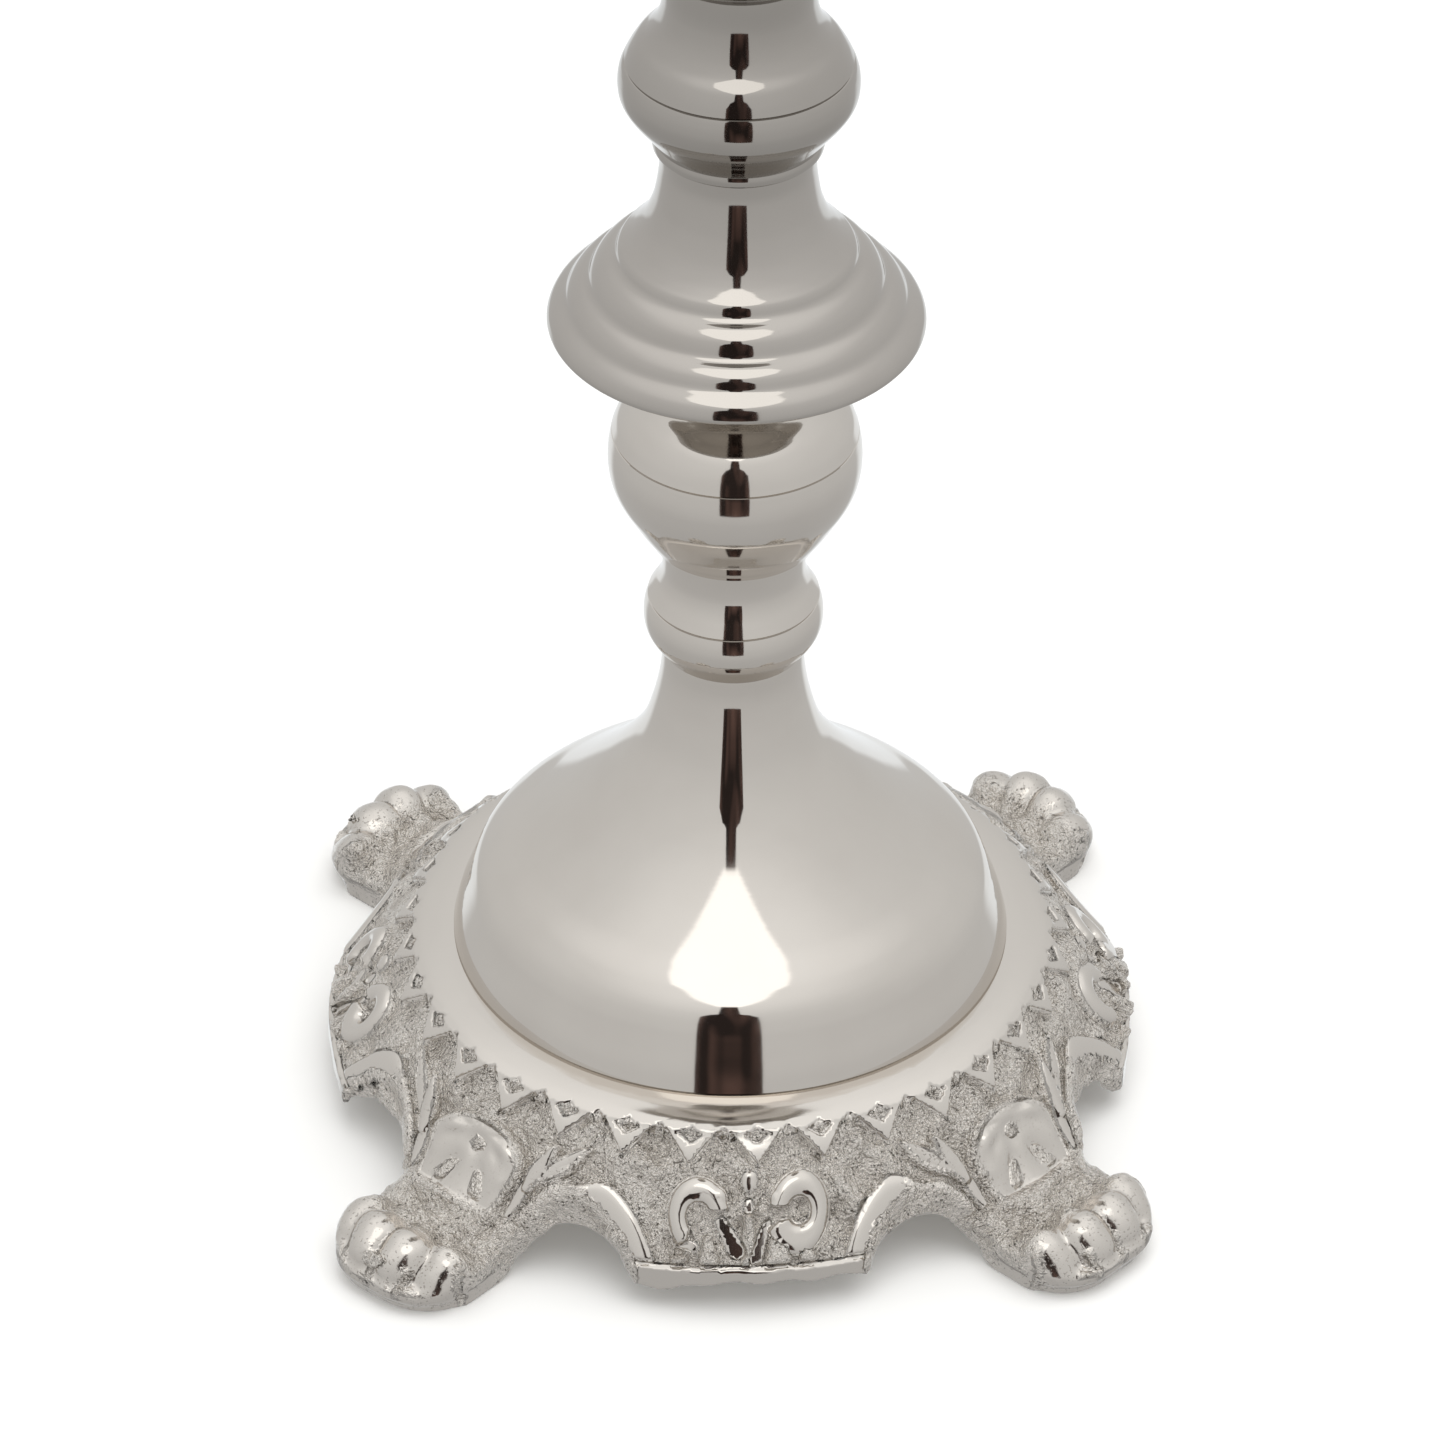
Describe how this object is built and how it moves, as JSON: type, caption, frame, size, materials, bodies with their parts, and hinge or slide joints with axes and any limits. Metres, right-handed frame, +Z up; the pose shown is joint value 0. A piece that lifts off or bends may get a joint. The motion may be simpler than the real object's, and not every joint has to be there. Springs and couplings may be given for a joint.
{
  "type": "candlestick",
  "caption": "Polished turned candlestick on a cast base with lion paw feet, with a lift-out drip nozzle for a taper candle.",
  "frame": {"origin": "on the floor, on the turning axis", "axes": "+Z up along the turning axis; the four flat-fronted panels of the base face +X, +Y, -X and -Y and the paws lie on the diagonals"},
  "size_m": [0.1352, 0.1352, 0.266],
  "materials": {
    "plated_polish": "mirror-polished nickel plate with faint turning lines",
    "plated_casting": "nickel-plated sand casting, rough grained recesses and hand-polished high spots",
    "zinc_steel": "zinc-plated steel hardware"
  },
  "bodies": {
    "stand": {"base_casting": "plated_casting", "dome_foot": "plated_polish", "ring_knop": "plated_polish", "bulb_knop": "plated_polish", "bell_skirt": "plated_polish", "upper_knop": "plated_polish", "collar_ring": "plated_polish", "socket_vase": "plated_polish", "tie_rod": "zinc_steel", "clamp_plate": "zinc_steel", "spring_washer": "zinc_steel", "hex_nut": "zinc_steel"},
    "nozzle": {"drip_nozzle": "plated_polish"}
  },
  "joints": [
    {"name": "nozzle_lift", "type": "slide", "parent": "stand", "child": "nozzle", "axis": [0, 0, 1], "range_m": [0, 0.03]}
  ]
}
